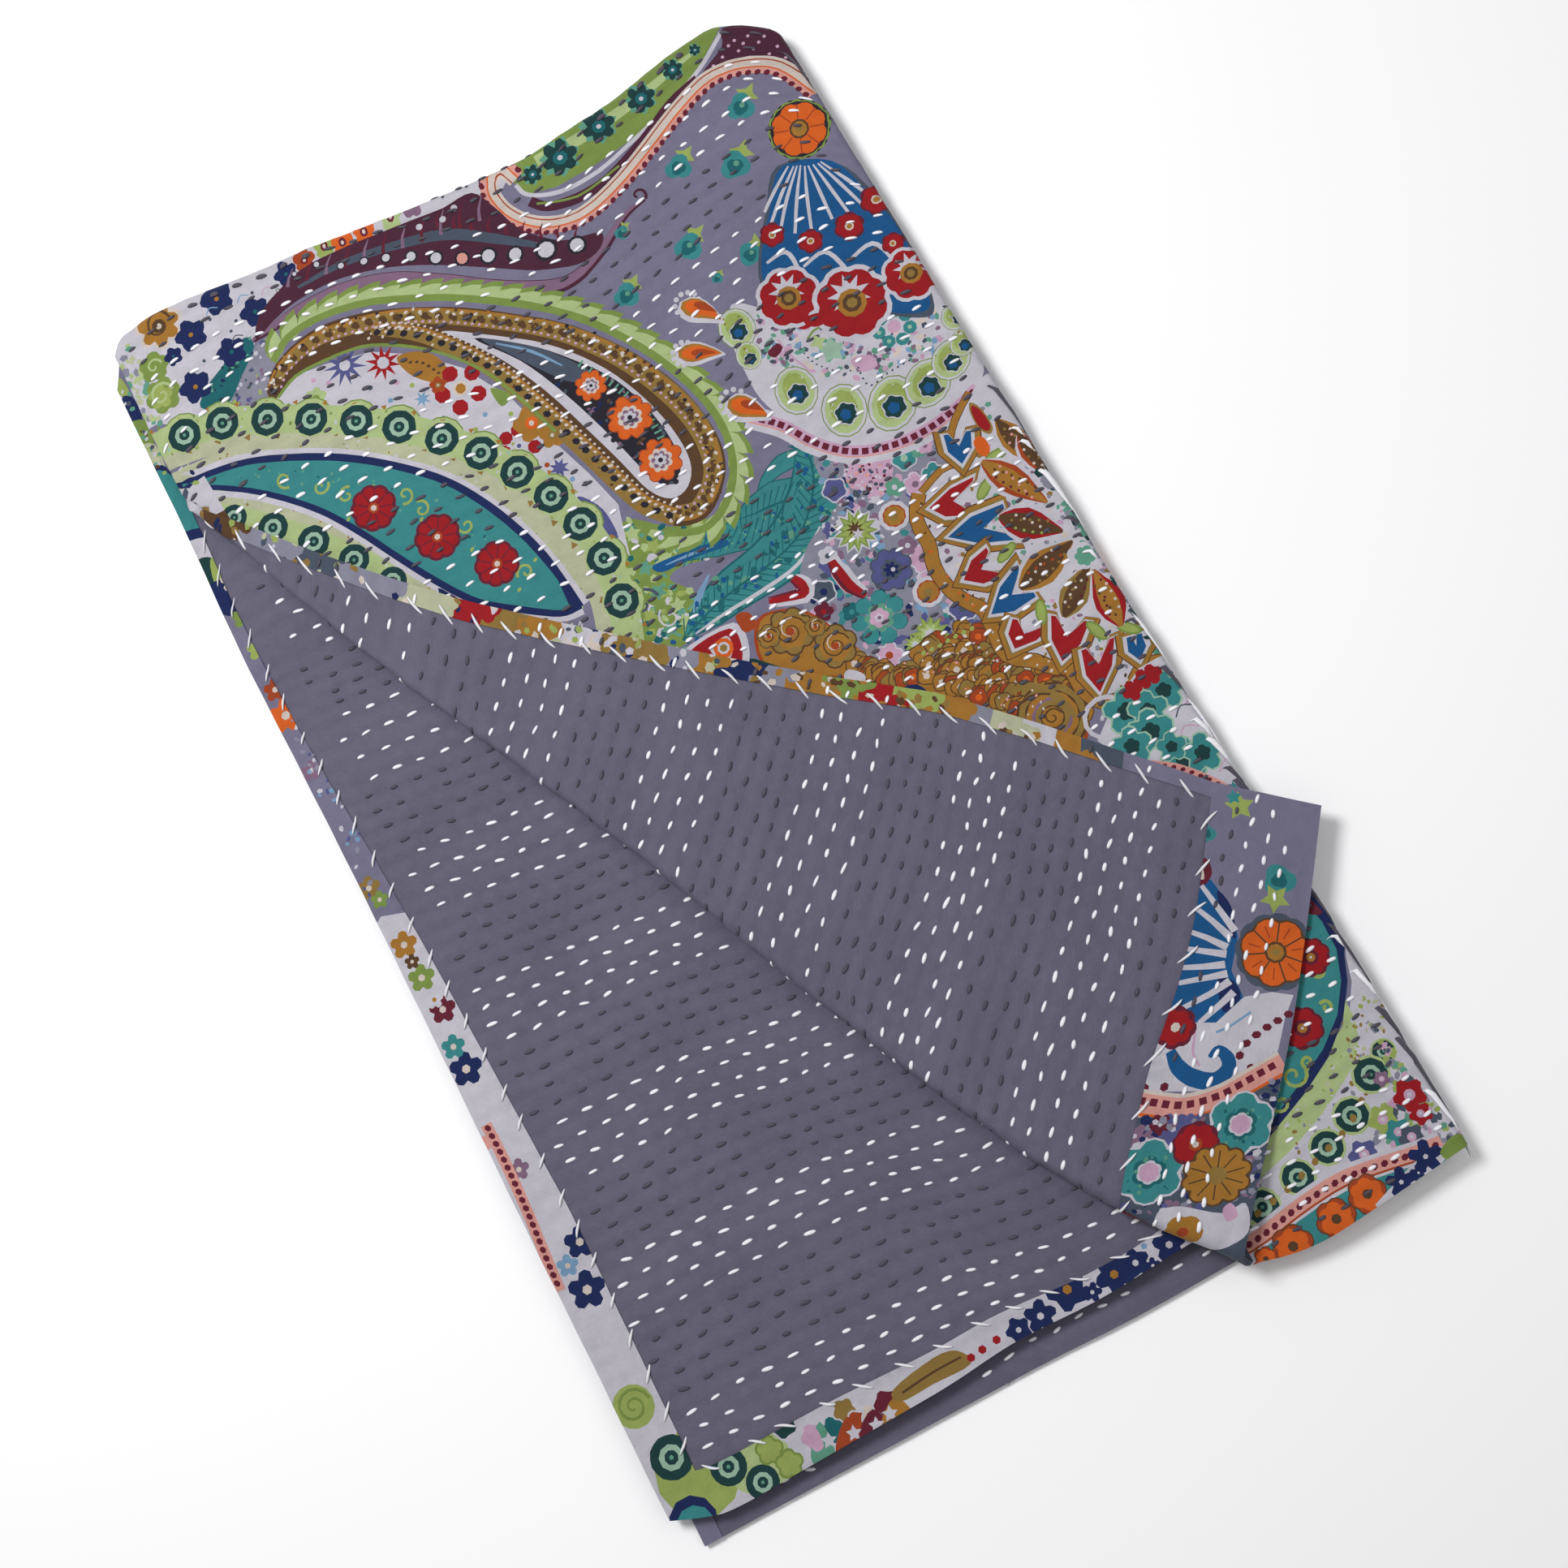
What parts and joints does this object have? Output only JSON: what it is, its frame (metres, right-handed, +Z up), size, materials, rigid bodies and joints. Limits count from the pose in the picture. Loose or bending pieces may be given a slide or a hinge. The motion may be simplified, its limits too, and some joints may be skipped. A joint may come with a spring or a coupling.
{
  "type": "kantha quilt",
  "caption": "Hand-stitched cotton quilt folded into a flat pack, printed on the front and plain grey on the back, with a corner of its top layer turned back.",
  "frame": {"origin": "middle of the folded pack's bounding box, at the base it lies on", "axes": "+Z up from the surface it lies on, +Y along the pack's long side towards the far fold, +X towards the right-hand fold"},
  "size_m": [0.5394, 0.8786, 0.0311],
  "materials": {
    "printed_cotton": "matte",
    "grey_cotton": "matte"
  },
  "bodies": {
    "root": {"quilt_front": "printed_cotton", "quilt_backing": "grey_cotton"}
  },
  "joints": []
}
